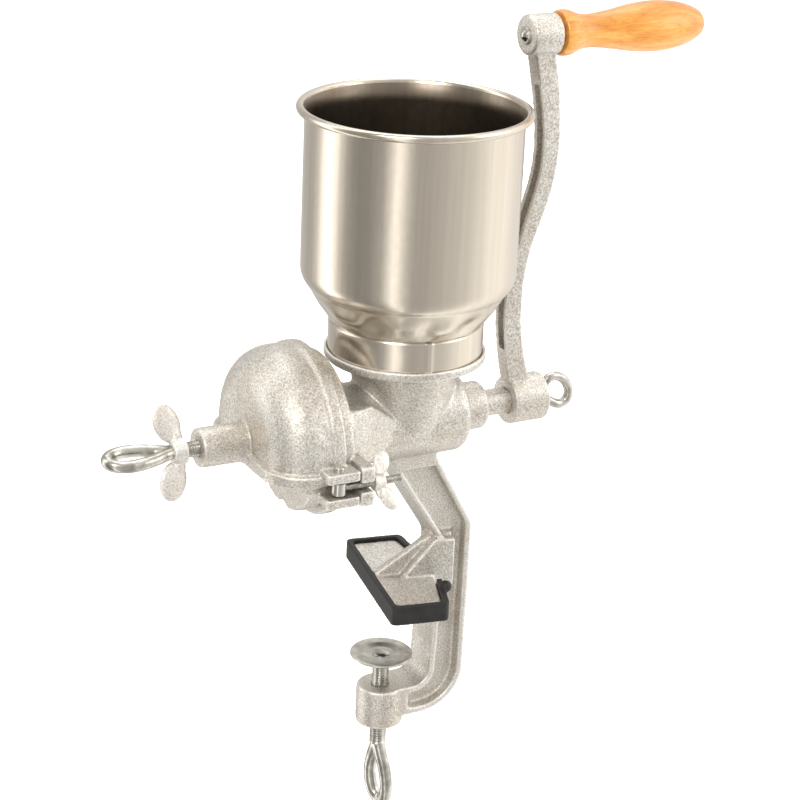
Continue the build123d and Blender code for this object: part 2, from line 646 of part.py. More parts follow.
NODES = {
    "mill_body": mill_body,
    "burr_cover": lambda: mill(burr_cover()),
    "swing_bolt_near": lambda: mill(swing_bolt(-1)),
    "swing_bolt_far": lambda: mill(swing_bolt(1)),
    "swing_pin_near": lambda: mill(swing_pin(-1)),
    "swing_pin_far": lambda: mill(swing_pin(1)),
    "cover_wing_nut_near": lambda: mill(cover_wing_nut(-1)),
    "cover_wing_nut_far": lambda: mill(cover_wing_nut(1)),
    "fixed_burr": lambda: mill(fixed_burr()),
    "fixed_burr_screws": lambda: mill(fixed_burr_screws()),
    "rotating_burr": lambda: mill(rotating_burr()),
    "burr_carrier": lambda: mill(burr_carrier()),
    "carrier_pin": lambda: mill(carrier_pin()),
    "feed_screw": lambda: mill(feed_screw()),
    "thrust_washer": lambda: mill(thrust_washer()),
    "thrust_ball": lambda: mill(thrust_ball()),
    "adjusting_screw": lambda: mill(adjusting_screw()),
    "lock_wing_nut": lambda: mill(lock_wing_nut()),
    "crank_arm": lambda: mill(crank_arm()),
    "crank_eye_screw": lambda: mill(crank_eye_screw()),
    "handle_grip": lambda: mill(handle_grip()),
    "handle_spindle": lambda: mill(handle_spindle()),
    "spindle_ring": lambda: mill(spindle_ring()),
    "handle_washer": lambda: mill(handle_washer()),
    "hopper": lambda: mill(hopper()),
    "hopper_rim_wire": lambda: mill(hopper_rim_wire()),
    "hopper_collar": lambda: mill(hopper_collar()),
    "clamp_screw": clamp_screw,
    "clamp_disc": clamp_disc,
    "clamp_rivet": clamp_rivet,
    "jaw_boot": jaw_boot,
}

os.makedirs("parts", exist_ok=True)
for node, make in NODES.items():
    export_step(make(), f"parts/{node}.step")
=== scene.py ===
from math import cos, exp, pi, radians, sin

import bmesh
import bpy
from mathutils import Matrix, Vector, noise


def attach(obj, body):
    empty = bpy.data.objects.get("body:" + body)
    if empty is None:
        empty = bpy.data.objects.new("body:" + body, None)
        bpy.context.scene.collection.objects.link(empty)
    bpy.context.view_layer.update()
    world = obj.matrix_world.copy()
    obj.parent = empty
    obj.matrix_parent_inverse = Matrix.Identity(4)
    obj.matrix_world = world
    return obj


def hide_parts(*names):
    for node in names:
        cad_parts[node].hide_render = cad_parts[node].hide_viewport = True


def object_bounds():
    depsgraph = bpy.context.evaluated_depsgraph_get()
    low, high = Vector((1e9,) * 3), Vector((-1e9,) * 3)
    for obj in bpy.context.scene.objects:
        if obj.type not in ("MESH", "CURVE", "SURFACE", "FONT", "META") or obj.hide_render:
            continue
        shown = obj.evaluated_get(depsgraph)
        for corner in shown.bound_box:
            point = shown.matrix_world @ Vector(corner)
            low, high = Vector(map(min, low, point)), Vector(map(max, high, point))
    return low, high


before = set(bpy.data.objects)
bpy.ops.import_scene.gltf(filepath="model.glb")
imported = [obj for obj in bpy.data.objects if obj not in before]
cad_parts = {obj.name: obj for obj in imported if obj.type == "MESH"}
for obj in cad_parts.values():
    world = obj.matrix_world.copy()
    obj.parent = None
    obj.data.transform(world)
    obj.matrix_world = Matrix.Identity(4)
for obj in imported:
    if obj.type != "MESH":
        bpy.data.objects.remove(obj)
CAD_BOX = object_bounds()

# A clamp-on burr mill with a high sheet hopper. Sizes below are in millimetres unless they say otherwise.
# The mill's own axes sit over the clamp: x along the shaft towards the crank, z up from the shaft.
MM = 0.001
MILL = Vector((7.0, 0.0, 120.0))

# Hopper
CAN_R = 67.0
SHEET = 0.9
RIM_Z = 199.1
RIM_R = 69.7
BEAD_R = 2.5
SHOULDER_Z = 99.0
BAND_TOP = 66.4
BAND_LOW = 44.6
NECK_R = 46.2
BAND_R = 48.6

# Crank and grip
GRIP_Z = 239.3
GRIP_LEFT = 97.6
GRIP_END = 202.8
GRIP_BORE_R = 3.75
SPINDLE_LEFT = 75.0
SPINDLE_R = 3.55
SPINDLE_HEAD_R = 5.4
HUB_RIGHT = 101.5
CRANK_EYE_ROD_R = 3.0

# Adjusting screw and its lock nut
ADJUSTING_R = 5.0
ADJUSTING_PITCH = 1.5
ADJUSTING_NECK_X = -155.5
ADJUSTING_ROD_X = -156.6
ADJUSTING_TIP_X = -93.8
LOCK_NUT_X = -148.5

# Swing bolts that hold the hood
BOLT_R = 2.5
BOLT_LENGTH = 37.2
BOLT_PITCH = 0.8
BOLT_Y = 62.0
BOLT_Z = -12.2
BOLT_NECK_X = -70.5
BOLT_ROD_X = -70.7
BOLT_PIN_X = -75.0
BOLT_PIN_R = 2.25
EAR_FACE_X = -53.5
NUT_GAP = 1.2

# Clamp
CLAMP_R = 5.5
CLAMP_PITCH = 1.75
CLAMP_NECK_Z = -111.5
CLAMP_ROD_Z = -113.0
CLAMP_ROD_LENGTH = 62.5
CLAMP_TIP_R = 3.2
CLAMP_TIP_Z = -51
DISC_Z = -45.6
DISC_BORE_R = 3.3


# ------------------------------------------------------------------ nodes and finishes

def linear(code):
    """An sRGB hex colour as linear RGBA."""
    parts = [int(code[i:i + 2], 16) / 255 for i in (1, 3, 5)]
    return (*[c / 12.92 if c <= 0.04045 else ((c + 0.055) / 1.055) ** 2.4 for c in parts], 1.0)


def add(tree, kind, inputs=None, stops=(), **settings):
    """Adds one node, with its settings, its input values, the links into it and a ramp's colour stops."""
    node = tree.nodes.new(kind)
    for name, value in settings.items():
        setattr(node, name, value)
    for name, value in (inputs or {}).items():
        if isinstance(value, bpy.types.NodeSocket):
            tree.links.new(value, node.inputs[name])
        else:
            node.inputs[name].default_value = value
    if stops:
        elements = node.color_ramp.elements
        while len(elements) < len(stops):
            elements.new(0.5)
        for element, (position, code) in zip(elements, stops):
            element.position = position
            element.color = linear(code)
    return node


def new_finish(name, **constants):
    """A material with one Principled shader; constants are set on the shader's own sockets."""
    material = bpy.data.materials.new(name)
    material.use_nodes = True
    tree = material.node_tree
    tree.nodes.clear()
    shader = add(tree, "ShaderNodeBsdfPrincipled", {k.replace("_", " "): v for k, v in constants.items()})
    add(tree, "ShaderNodeOutputMaterial", {"Surface": shader.outputs[0]})
    place = add(tree, "ShaderNodeTexCoord").outputs["Object"]
    return material, tree, shader, place


def speckle(tree, place, grain, detail=2.0, rough=0.5, stretch=None):
    """Noise whose cells are about `grain` mm across."""
    if stretch:
        place = add(tree, "ShaderNodeMapping", {"Vector": place, "Scale": stretch}).outputs[0]
    inputs = {"Vector": place, "Scale": 1 / (grain * MM), "Detail": detail, "Roughness": rough}
    return add(tree, "ShaderNodeTexNoise", inputs).outputs["Fac"]


def dress(tree, shader, looks, height, depth, strength):
    """Links a finish's looks to its shader, with a relief `depth` mm deep."""
    bump = add(tree, "ShaderNodeBump", {"Height": height, "Distance": depth * MM, "Strength": strength})
    for name, look in {**looks, "Normal": bump.outputs[0]}.items():
        tree.links.new(look, shader.inputs[name])


def tinned_casting(name, light, mid, dark, bright):
    """Sand-cast grey iron, thinly tinned: silvery and sandy, with painted shade in its hollows and a painted
    highlight on its edges.
    """
    material, tree, shader, place = new_finish(name, Metallic=0.92)
    grains = speckle(tree, place, 1.0, 2.0, 0.6)
    specks = speckle(tree, place, 0.7, 1.0, 0.5)
    clouds = speckle(tree, place, 24.0, 3.0)
    sand = add(tree, "ShaderNodeValToRGB", {"Fac": grains}, [(0.30, dark), (0.50, mid), (0.66, light)])
    warm = add(tree, "ShaderNodeValToRGB", {"Fac": clouds}, [(0.38, "#F3EEE8"), (0.62, "#FFFFFF")])
    colour = add(tree, "ShaderNodeMix", {0: 0.75, 6: sand.outputs[0], 7: warm.outputs[0]},
                 data_type="RGBA", blend_type="MULTIPLY").outputs[2]
    edges = add(tree, "ShaderNodeNewGeometry").outputs["Pointiness"]
    # Painted shade: hollows found by pointiness are darkened towards the dark tone.
    hollow = add(tree, "ShaderNodeMapRange", {
        "Value": edges, "From Min": 0.42, "From Max": 0.50, "To Min": 0.55, "To Max": 0.0}).outputs[0]
    # Painted highlight: sharp edges found by pointiness are lightened towards the bright tone.
    painted_edge_highlight = add(tree, "ShaderNodeMapRange", {
        "Value": edges, "From Min": 0.515, "From Max": 0.56, "To Max": 0.8}).outputs[0]
    # Mixes the painted shade and the painted highlight into the casting's colour.
    for share, tone in ((hollow, dark), (painted_edge_highlight, bright)):
        colour = add(tree, "ShaderNodeMix", {0: share, 6: colour, 7: linear(tone)}, data_type="RGBA").outputs[2]
    rough = add(tree, "ShaderNodeMapRange", {
        "Value": specks, "From Min": 0.3, "From Max": 0.7, "To Min": 0.34, "To Max": 0.62}).outputs[0]
    height = add(tree, "ShaderNodeMath", {0: grains, 1: specks}, operation="ADD").outputs[0]
    dress(tree, shader, {"Base Color": colour, "Roughness": rough}, height, 0.17, 0.6)
    return material


def spun_stainless(name, light, dark, rough):
    """Spun stainless sheet: satin, with faint upright bands and a little orange peel from the spinning."""
    material, tree, shader, place = new_finish(name, Metallic=1.0)
    peel = speckle(tree, place, 3.2, 2.0, stretch=(1, 1, 0.6))
    streaks = speckle(tree, place, 4.0, 3.0, stretch=(1, 1, 0.03))
    clouds = speckle(tree, place, 60.0, 2.0)
    bands = add(tree, "ShaderNodeValToRGB", {"Fac": streaks}, [(0.10, dark), (0.9, light)]).outputs[0]
    warmth = add(tree, "ShaderNodeMapRange", {"Value": clouds, "To Max": 0.35}).outputs[0]
    colour = add(tree, "ShaderNodeMix", {0: warmth, 6: bands, 7: linear("#BFB09A")}, data_type="RGBA").outputs[2]
    satin = add(tree, "ShaderNodeMapRange", {
        "Value": peel, "To Min": rough - 0.05, "To Max": rough + 0.07}).outputs[0]
    dress(tree, shader, {"Base Color": colour, "Roughness": satin}, peel, 0.05, 0.35)
    return material


def zinc_plate(name, light, dark, rough):
    """Bright zinc on drawn steel: smooth and cool, with faint drawing marks and duller patches."""
    material, tree, shader, place = new_finish(name, Metallic=1.0)
    patches = speckle(tree, place, 7.0, 3.0)
    fine = speckle(tree, place, 0.9, 2.0)
    colour = add(tree, "ShaderNodeValToRGB", {"Fac": patches}, [(0.3, dark), (0.6, light)]).outputs[0]
    dull = add(tree, "ShaderNodeMapRange", {
        "Value": patches, "From Min": 0.3, "From Max": 0.7,
        "To Min": rough + 0.1, "To Max": rough - 0.05}).outputs[0]
    dress(tree, shader, {"Base Color": colour, "Roughness": dull}, fine, 0.03, 0.4)
    return material


def ground_burr_iron():
    """Hard chilled iron, machined on its faces: dark grey with a fine turned texture."""
    material, tree, shader, place = new_finish("chilled_burr_iron", Metallic=1.0)
    fine = speckle(tree, place, 1.2, 3.0)
    colour = add(tree, "ShaderNodeValToRGB", {"Fac": fine}, [(0.3, "#5D5A54"), (0.7, "#8C8880")]).outputs[0]
    rough = add(tree, "ShaderNodeMapRange", {"Value": fine, "To Min": 0.35, "To Max": 0.55}).outputs[0]
    dress(tree, shader, {"Base Color": colour, "Roughness": rough}, fine, 0.1, 0.5)
    return material


def varnished_beech():
    """Turned beech under orange varnish: grain along the grip, short darker flecks, a glossy coat."""
    material, tree, shader, place = new_finish(
        "varnished_beech", Roughness=0.34, Coat_Weight=0.55, Coat_Roughness=0.16)
    bands = speckle(tree, place, 5.5, 3.0, stretch=(0.10, 1, 1))
    pores = speckle(tree, place, 0.9, 2.0, stretch=(0.07, 1, 1))
    flecks = speckle(tree, place, 3.0, 2.0, stretch=(0.45, 1, 1))
    stops = [(0.28, "#CC8028"), (0.50, "#E09A40"), (0.72, "#F0B660")]
    colour = add(tree, "ShaderNodeValToRGB", {"Fac": bands}, stops).outputs[0]
    for marks, most, start, end, tone in (
            (pores, 0.30, 0.35, 0.55, "#A85A12"), (flecks, 0.45, 0.30, 0.42, "#C06A14")):
        share = add(tree, "ShaderNodeMapRange", {
            "Value": marks, "From Min": start, "From Max": end, "To Min": most, "To Max": 0.0}).outputs[0]
        colour = add(tree, "ShaderNodeMix", {0: share, 6: colour, 7: linear(tone)}, data_type="RGBA").outputs[2]
    dress(tree, shader, {"Base Color": colour}, pores, 0.05, 0.3)
    return material


def moulded_rubber():
    """Black moulded rubber: matt, with a faint bloom and fine pitting."""
    material, tree, shader, place = new_finish("moulded_black_rubber", Specular_IOR_Level=0.45)
    bloom = speckle(tree, place, 9.0, 3.0)
    pits = speckle(tree, place, 0.8, 2.0)
    colour = add(tree, "ShaderNodeValToRGB", {"Fac": bloom}, [(0.3, "#141414"), (0.7, "#262524")]).outputs[0]
    rough = add(tree, "ShaderNodeMapRange", {"Value": bloom, "To Min": 0.45, "To Max": 0.62}).outputs[0]
    dress(tree, shader, {"Base Color": colour, "Roughness": rough}, pits, 0.05, 0.4)
    return material


# In each casting finish, the dark tone also paints shade in the hollows, and the last tone is the painted edge
# highlight.
CASTING = tinned_casting("tinned_cast_iron", "#EFEDE9", "#D6D3CE", "#A8A399", "#FBFAF8")
LIGHT_CASTING = tinned_casting("tinned_malleable_iron", "#F8F7F5", "#EBE9E6", "#C9C5BE", "#FFFFFF")
STAINLESS = spun_stainless("spun_stainless_sheet", "#DED8CE", "#CCC4B8", 0.20)
# The inside copy is the same stainless sheet made much darker: painted shade for the inside of the can.
STAINLESS_INSIDE_PAINTED_SHADE = spun_stainless("spun_stainless_inside_painted_shade", "#80776E", "#655D55", 0.32)
ZINC = zinc_plate("bright_zinc_plate", "#CFCDC7", "#9D9A92", 0.22)
DULL_ZINC = zinc_plate("dull_pressed_zinc", "#DAD8D1", "#BDBAB2", 0.42)
BURR_IRON = ground_burr_iron()
BEECH = varnished_beech()
RUBBER = moulded_rubber()


# ------------------------------------------------------------------ mesh helpers

def shown(name, mesh, body, material, nodes=(), sharp=38):
    """Links a finished mesh as a piece of the object, riding on a body and standing for CAD nodes."""
    piece = bpy.data.objects.new(name, mesh)
    bpy.context.scene.collection.objects.link(piece)
    if material:
        mesh.materials.clear()
        mesh.materials.append(material)
    mesh.shade_smooth()
    mesh.set_sharp_from_angle(angle=radians(sharp))
    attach(piece, body)
    if nodes:
        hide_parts(*nodes)


def mesh_of(bm, name, offset=Vector((0, 0, 0))):
    """Turns millimetres in a bmesh into a mesh in metres, moved by `offset` mm, normals outward."""
    bmesh.ops.remove_doubles(bm, verts=bm.verts, dist=0.002)
    bmesh.ops.recalc_face_normals(bm, faces=bm.faces)
    bmesh.ops.translate(bm, verts=bm.verts, vec=offset)
    bmesh.ops.scale(bm, verts=bm.verts, vec=(MM, MM, MM))
    mesh = bpy.data.meshes.new(name)
    bm.to_mesh(mesh)
    bm.free()
    return mesh


def baked(thing):
    """The evaluated object as a plain mesh; the maker object is removed."""
    bpy.context.view_layer.update()
    graph = bpy.context.evaluated_depsgraph_get()
    mesh = bpy.data.meshes.new_from_object(thing.evaluated_get(graph))
    bpy.data.objects.remove(thing)
    return mesh


def in_millimetres(mesh):
    """A mesh in metres as a bmesh in millimetres."""
    bm = bmesh.new()
    bm.from_mesh(mesh)
    bmesh.ops.scale(bm, verts=bm.verts, vec=(1 / MM, 1 / MM, 1 / MM))
    return bm


def solid_copy(node):
    """A welded copy of a CAD node's mesh, in millimetres."""
    bm = in_millimetres(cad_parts[node].data)
    bmesh.ops.remove_doubles(bm, verts=bm.verts, dist=0.002)
    return bm


def keep_side(bm, point, normal):
    """Cuts a solid by a plane, keeps what lies on the normal's side and closes the cut."""
    everything = bm.verts[:] + bm.edges[:] + bm.faces[:]
    cut = bmesh.ops.bisect_plane(bm, geom=everything, plane_co=point, plane_no=normal, clear_inner=True)
    rim = [e for e in cut["geom_cut"] if isinstance(e, bmesh.types.BMEdge)]
    bmesh.ops.holes_fill(bm, edges=rim)
    return bm


def cast_skin(bm, name, voxel, passes, lumps=0.12, thin=1.0):
    """A cast surface: the solid's edges and inner corners rounded off, and the skin slightly uneven."""
    mesh = mesh_of(bm, name)
    maker = bpy.data.objects.new(name, mesh)
    bpy.context.scene.collection.objects.link(maker)
    skin = maker.modifiers.new("skin", "REMESH")
    skin.mode = "VOXEL"
    skin.voxel_size = voxel * MM
    relax = maker.modifiers.new("relax", "SMOOTH")
    relax.factor = 0.5
    relax.iterations = passes
    if thin < 1:
        fewer = maker.modifiers.new("fewer", "DECIMATE")
        fewer.ratio = thin
    result = baked(maker)
    spots = [v.co.copy() for v in result.vertices]
    normals = [v.normal.copy() for v in result.vertices]
    moved = []
    for spot, normal in zip(spots, normals):
        rise = lumps * noise.noise(spot / (7 * MM)) + lumps * 0.5 * noise.noise(spot / (2.6 * MM))
        moved.extend(spot + normal * rise * MM)
    result.vertices.foreach_set("co", moved)
    result.update()
    return result


def arc_points(centre, radius, start, end, steps):
    """Points along an arc, from one angle in degrees to another."""
    angles = [radians(start + (end - start) * i / steps) for i in range(steps + 1)]
    return [(centre[0] + radius * cos(a), centre[1] + radius * sin(a)) for a in angles]


def rounded(points, radius, steps=5):
    """An open outline with its inner corners rounded by `radius` mm."""
    result = [points[0]]
    for before, here, after in zip(points, points[1:], points[2:]):
        here, before, after = Vector(here), Vector(before), Vector(after)
        cut = min(radius, (before - here).length * 0.45, (after - here).length * 0.45)
        a = here + (before - here).normalized() * cut
        b = here + (after - here).normalized() * cut
        for i in range(steps + 1):
            t = i / steps
            result.append(tuple((1 - t) ** 2 * a + 2 * t * (1 - t) * here + t * t * b))
    return result + [points[-1]]


def flowing(points, steps=6):
    """A smooth line through the points."""
    padded = [points[0]] + list(points) + [points[-1]]
    result = []
    for p0, p1, p2, p3 in zip(padded, padded[1:], padded[2:], padded[3:]):
        for i in range(steps):
            t = i / steps
            result.append(tuple(
                0.5 * (2 * b + (c - a) * t
                       + (2 * a - 5 * b + 4 * c - d) * t * t
                       + (3 * b - a - 3 * c + d) * t ** 3)
                for a, b, c, d in zip(p0, p1, p2, p3)))
    return result + [points[-1]]


def turned(outline, around=96, closed=False, shape=None):
    """Turns an outline of (radius, height) about Z; `shape` may move each point by its angle."""
    bm = bmesh.new()
    rings = []
    for r, z in outline:
        ring = []
        for i in range(around):
            angle = 2 * pi * i / around
            radius, height = shape(r, z, angle) if shape else (r, z)
            ring.append(bm.verts.new((radius * cos(angle), radius * sin(angle), height)))
        rings.append(ring)
    if closed:
        rings.append(rings[0])
    for low, high in zip(rings, rings[1:]):
        for i in range(around):
            j = (i + 1) % around
            bm.faces.new((low[i], low[j], high[j], high[i]))
    bmesh.ops.remove_doubles(bm, verts=bm.verts, dist=0.003)
    return bm


def along_x(bm):
    """Turns a piece made about Z so that it lies along +X."""
    bmesh.ops.rotate(bm, verts=bm.verts, cent=(0, 0, 0), matrix=Matrix.Rotation(radians(90), 3, "Y"))
    return bm


def bent_rod(name, route, radius):
    """A round rod along a smooth route of points in millimetres, as a bmesh in millimetres."""
    curve = bpy.data.curves.new(name, "CURVE")
    curve.dimensions = "3D"
    curve.bevel_depth = radius
    curve.bevel_resolution = 6
    curve.resolution_u = 10
    curve.use_fill_caps = True
    spline = curve.splines.new("NURBS")
    spline.points.add(len(route) - 1)
    for point, spot in zip(spline.points, route):
        point.co = (*spot, 1.0)
    spline.order_u = 4
    spline.use_endpoint_u = True
    maker = bpy.data.objects.new(name, curve)
    bpy.context.scene.collection.objects.link(maker)
    bm = bmesh.new()
    bm.from_mesh(baked(maker))
    bmesh.ops.remove_doubles(bm, verts=bm.verts, dist=0.002)
    bmesh.ops.recalc_face_normals(bm, faces=bm.faces)
    return bm


# ------------------------------------------------------------------ screw threads by Geometry Nodes

def thread_tree():
    """A closed threaded rod about +Z, wrapped from a grid, with a V profile cut into it."""
    tree = bpy.data.node_groups.new("cut_thread", "GeometryNodeTree")
    tree.interface.new_socket("Geometry", in_out="OUTPUT", socket_type="NodeSocketGeometry")
    for name in ("Radius", "Length", "Pitch", "Depth", "Around", "Along"):
        kind = "NodeSocketInt" if name in ("Around", "Along") else "NodeSocketFloat"
        tree.interface.new_socket(name, in_out="INPUT", socket_type=kind)
    tree.interface.new_socket("Finish", in_out="INPUT", socket_type="NodeSocketMaterial")
    given = add(tree, "NodeGroupInput").outputs

    def math(operation, a, b=0.0, c=0.0):
        """One step of arithmetic in this tree."""
        return add(tree, "ShaderNodeMath", {0: a, 1: b, 2: c}, operation=operation).outputs[0]

    grid = add(tree, "GeometryNodeMeshGrid", {
        "Size X": 1.0, "Size Y": 1.0, "Vertices X": given["Around"], "Vertices Y": given["Along"]})
    position = add(tree, "GeometryNodeInputPosition").outputs[0]
    spot = add(tree, "ShaderNodeSeparateXYZ", {0: position}).outputs
    turn = math("ADD", spot["X"], 0.5)
    run = math("MULTIPLY_ADD", spot["Y"], 1.02, 0.5)
    height = math("MULTIPLY", add(tree, "ShaderNodeClamp", {"Value": run}).outputs[0], given["Length"])
    phase = math("FRACT", math("SUBTRACT", math("DIVIDE", height, given["Pitch"]), turn))
    flank = math("MULTIPLY", math("ABSOLUTE", math("SUBTRACT", phase, 0.5)), 2.0)
    groove = add(tree, "ShaderNodeMapRange", {
        "Value": flank, "From Min": 0.12, "From Max": 0.82}, interpolation_type="SMOOTHSTEP").outputs[0]
    from_end = math("MINIMUM", height, math("SUBTRACT", given["Length"], height))
    fade = add(tree, "ShaderNodeMapRange", {"Value": from_end, "From Max": given["Pitch"]}).outputs[0]
    cut = math("MULTIPLY", math("MULTIPLY", groove, fade), given["Depth"])
    radius = math("SUBTRACT", given["Radius"], cut)
    inside = math("LESS_THAN", math("ABSOLUTE", spot["Y"]), 0.4999)
    radius = math("MULTIPLY", radius, inside)
    angle = math("MULTIPLY", turn, 2 * pi)
    place = add(tree, "ShaderNodeCombineXYZ", {
        "X": math("MULTIPLY", radius, math("COSINE", angle)),
        "Y": math("MULTIPLY", radius, math("SINE", angle)), "Z": height})
    wrapped = add(tree, "GeometryNodeSetPosition", {
        "Geometry": grid.outputs["Mesh"], "Position": place.outputs[0]})
    welded = add(tree, "GeometryNodeMergeByDistance", {"Geometry": wrapped.outputs[0], "Distance": 0.001})
    real = add(tree, "GeometryNodeRealizeInstances", {"Geometry": welded.outputs[0]})
    painted = add(tree, "GeometryNodeSetMaterial", {
        "Geometry": real.outputs[0], "Material": given["Finish"]})
    add(tree, "NodeGroupOutput", {"Geometry": painted.outputs[0]})
    return tree


THREAD = thread_tree()


def made_by(tree, **inputs):
    """Runs a Geometry Nodes tree with named inputs and returns its mesh."""
    maker = bpy.data.objects.new("maker", bpy.data.meshes.new("maker"))
    bpy.context.scene.collection.objects.link(maker)
    modifier = maker.modifiers.new("rule", "NODES")
    modifier.node_group = tree
    for socket in tree.interface.items_tree:
        if socket.in_out == "INPUT" and socket.name in inputs:
            modifier[socket.identifier] = inputs[socket.name]
    return baked(maker)


def thread(radius, length, pitch, turn, start):
    """A threaded rod as a bmesh in the row frame: built along +Z in mm, turned, then moved to `start`."""
    mesh = made_by(THREAD, Radius=radius, Length=length, Pitch=pitch, Depth=pitch * 0.52,
                   Around=41, Along=int(length / pitch * 9), Finish=ZINC)
    bm = bmesh.new()
    bm.from_mesh(mesh)
    bmesh.ops.transform(bm, matrix=Matrix.Translation(start) @ turn.to_4x4(), verts=bm.verts)
    return bm


def joined(first, *others):
    """One bmesh from several."""
    for other in others:
        mesh = bpy.data.meshes.new("part")
        other.to_mesh(mesh)
        first.from_mesh(mesh)
        bpy.data.meshes.remove(mesh)
    return first


TO_X = Matrix.Rotation(radians(90), 3, "Y")
UP = Matrix.Identity(3)


def forged_eye(name, neck, along, across, length, half_width, radius, lean=0.0):
    """A screw's eye: a thick rod forged into a teardrop loop that closes in its neck."""
    # One limb, as shares of the loop's length and half width, from the neck to the far end.
    half = [(-0.06, 0.04), (0.08, 0.10), (0.26, 0.52), (0.50, 0.94)]
    half += [(0.74, 1.02), (0.94, 0.74), (1.02, 0.0)]
    reach, spread_out = length - radius, half_width - radius
    loop = half + [(u, -v) for u, v in reversed(half[:-1])]
    route = [neck + along * u * reach + across * (v * spread_out + lean * max(u, 0) ** 2) for u, v in loop]
    return in_millimetres(cast_skin(bent_rod(name, route, radius), name, 0.6, 5, lumps=0.12))


# ------------------------------------------------------------------ castings

def castings():
    """The mill body, the hood, the crank, and the two iron pieces that turn inside."""
    body = cast_skin(solid_copy("mill_body"), "mill_casting", 1.1, 5, thin=0.8)
    shown("mill_casting", body, "frame", CASTING, ["mill_body"], 60)
    hood = cast_skin(solid_copy("burr_cover"), "burr_hood", 0.9, 5, lumps=0.22)
    shown("burr_hood", hood, "frame", CASTING, ["burr_cover"], 60)
    for node, name, slot, voxel, passes, lumps in (
            ("crank_arm", "crank_casting", "tinned_iron", 0.8, 4, 0.12),
            ("burr_carrier", "burr_carrier_casting", "burr_iron", 1.0, 5, 0.12),
            ("feed_screw", "feed_screw_casting", "burr_iron", 0.7, 2, 0.05)):
        skin = cast_skin(solid_copy(node), name, voxel, passes, lumps)
        shown(name, skin, "rotor", CASTING, [node], 60)


def wing_nut(node, body, place, hub_r, hub_len, leaf, reach, lean):
    """A cast wing nut: a tapered hub and two leaf-shaped wings that lean away from its seat."""
    hub = rounded([(0.0, 0.0), (hub_r, 0.0), (hub_r * 0.8, hub_len), (0.0, hub_len)], 1.2, 3)
    bm = along_x(turned(hub, 40))
    middle = hub_len * 0.5
    lean = radians(lean)
    for side in (-1, 1):
        spot = Matrix.Translation((middle + reach * sin(lean), 0, side * reach * cos(lean)))
        wing = spot @ Matrix.Rotation(side * lean, 4, "Y") @ Matrix.Diagonal((*leaf, 1.0))
        bmesh.ops.create_icosphere(bm, subdivisions=4, radius=1.0, matrix=wing)
        web = Matrix.Diagonal((hub_len * 0.42, leaf[1] * 1.2, hub_r, 1.0))
        web = Matrix.Translation((middle, 0, side * hub_r)) @ web
        bmesh.ops.create_icosphere(bm, subdivisions=3, radius=1.0, matrix=web)
    bmesh.ops.transform(bm, matrix=place, verts=bm.verts)
    mesh = cast_skin(bm, node + "_casting", 0.45, 5, lumps=0.1)
    shown(node + "_casting", mesh, body, LIGHT_CASTING, [node], 60)


def wing_nuts():
    """The hood's two wing nuts, and the larger one that locks the adjusting screw."""
    for side, name, turn in ((-1, "near", -31), (1, "far", 20)):
        spot = MILL + Vector((EAR_FACE_X + NUT_GAP, side * BOLT_Y, BOLT_Z))
        place = Matrix.Translation(spot) @ Matrix.Rotation(radians(turn), 4, "X")
        wing_nut("cover_wing_nut_" + name, "nut_" + name, place,
                 hub_r=5.6, hub_len=8.0, leaf=(5.4, 1.9, 8.0), reach=12.0, lean=22)
    facing = Matrix.Rotation(pi, 4, "Z") @ Matrix.Rotation(radians(19), 4, "X")
    place = Matrix.Translation(MILL + Vector((LOCK_NUT_X, 0, 0))) @ facing
    wing_nut("lock_wing_nut", "lock_nut", place,
             hub_r=8.2, hub_len=9.0, leaf=(8.6, 2.2, 12.5), reach=18.5, lean=17)


# ------------------------------------------------------------------ hopper

def hopper_dents(r, z, angle):
    """Creases pressed into the cone between the shoulder and the band, deeper at the front."""
    depth = exp(-((z - 76.0) / 6.5) ** 2)
    if r < 30 or depth < 0.01:
        return r, z
    scallops = 0.9 * cos(7 * angle + 0.6) + 0.5 * cos(11 * angle - 1.1) + 0.35 * cos(17 * angle)
    front = (angle - radians(254) + pi) % (2 * pi) - pi
    crease = -2.0 * exp(-(front / 0.10) ** 2) + 1.3 * exp(-((front - 0.24) / 0.12) ** 2)
    hollow = -1.8 * exp(-((front - 0.62) / 0.20) ** 2)
    return r + depth * (scallops + crease + hollow), z + depth * 0.6 * sin(5 * angle)


